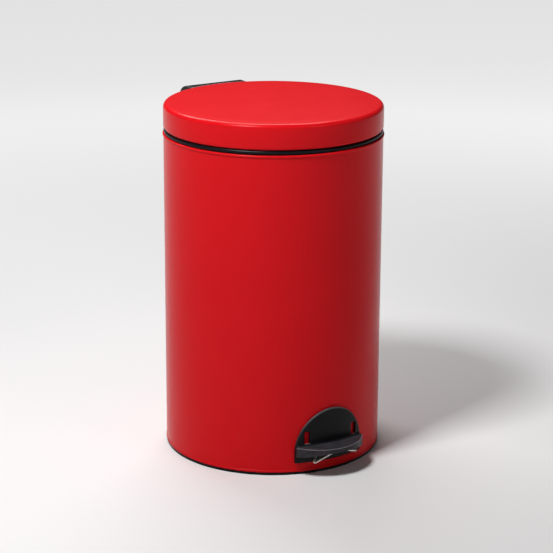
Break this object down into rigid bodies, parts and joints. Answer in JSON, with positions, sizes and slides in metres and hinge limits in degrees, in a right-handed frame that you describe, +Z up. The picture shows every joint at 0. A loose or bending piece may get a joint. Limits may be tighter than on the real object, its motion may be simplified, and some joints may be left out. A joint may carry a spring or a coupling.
{
  "type": "pedal waste can",
  "caption": "Round steel pedal can for oily waste, with a lid lifted by a foot pedal through a lever and push rod, and a removable inner bucket.",
  "frame": {"origin": "on the floor under the middle of the can, halfway between the pedal's front edge and the carry handle's rear edge", "axes": "+Z up the can, -Y towards the foot pedal, +X to the right of someone who stands on the pedal side and looks along +Y at the can"},
  "size_m": [0.296, 0.353, 0.475],
  "materials": {
    "red_paint": "satin powder coat",
    "black_plastic": "fine moulded grain",
    "zinc_steel": "zinc plated",
    "galvanised_steel": "hot dip galvanised spangle",
    "black_rubber": "matt"
  },
  "bodies": {
    "body": {"body_shell": "red_paint", "base_pan": "galvanised_steel", "foot_ring": "black_plastic", "rim_ring": "black_plastic", "hinge_bracket": "black_plastic", "hinge_pin": "zinc_steel", "pin_retainer": "zinc_steel", "lever_bearing_left": "black_plastic", "lever_bearing_right": "black_plastic", "rod_guide_upper": "black_plastic", "rod_guide_lower": "black_plastic", "rim_buffer_1": "black_rubber", "rim_buffer_2": "black_rubber", "rim_buffer_3": "black_rubber", "bracket_screw_1": "zinc_steel", "bracket_screw_2": "zinc_steel", "bracket_screw_3": "zinc_steel", "bracket_screw_4": "zinc_steel", "bearing_screw_left": "zinc_steel", "bearing_screw_right": "zinc_steel"},
    "lid": {"lid_shell": "red_paint", "lid_hinge_cover": "black_plastic", "lid_crank": "zinc_steel", "lid_rivet_1": "zinc_steel", "lid_rivet_2": "zinc_steel", "lid_rivet_3": "zinc_steel"},
    "pedal": {"pedal": "black_plastic"},
    "lever": {"lever_wire": "zinc_steel", "lever_axle": "zinc_steel", "lever_shoe": "black_plastic"},
    "push_rod": {"push_rod": "zinc_steel", "rod_cap": "black_plastic", "rod_foot": "black_plastic"},
    "bucket": {"inner_bucket": "galvanised_steel", "bail_lug_left": "galvanised_steel", "bail_lug_right": "galvanised_steel", "lug_rivet_1": "zinc_steel", "lug_rivet_2": "zinc_steel", "lug_rivet_3": "zinc_steel", "lug_rivet_4": "zinc_steel"},
    "bail": {"bail_wire": "zinc_steel"}
  },
  "joints": [
    {"name": "lid_hinge", "type": "hinge", "parent": "body", "child": "lid", "pos_m": [0, 0.1545, 0.452], "axis": [-1, 0, 0], "range_deg": [0, 80]},
    {"name": "pedal_slide", "type": "slide", "parent": "body", "child": "pedal", "axis": [0, 0, -1], "range_m": [0, 0.0141]},
    {"name": "lever_pivot", "type": "hinge", "parent": "body", "child": "lever", "pos_m": [0, -0.042, 0.0185], "axis": [1, 0, 0], "range_deg": [0, 6.5]},
    {"name": "push_rod_slide", "type": "slide", "parent": "body", "child": "push_rod", "axis": [0, 0, 1], "range_m": [0, 0.0204]},
    {"name": "bucket_lift", "type": "slide", "parent": "body", "child": "bucket", "axis": [0, 0, 1], "range_m": [0, 0.01]},
    {"name": "bail_swing", "type": "hinge", "parent": "bucket", "child": "bail", "pos_m": [0, 0, 0.4346], "axis": [-1, 0, 0], "range_deg": [0, 9]}
  ],
  "couplings": [
    {"joint": "pedal_slide", "follows": "lid_hinge", "m_per_rad": 0.010027},
    {"joint": "lever_pivot", "follows": "lid_hinge", "ratio": 0.080375},
    {"joint": "push_rod_slide", "follows": "lid_hinge", "m_per_rad": 0.014539}
  ]
}
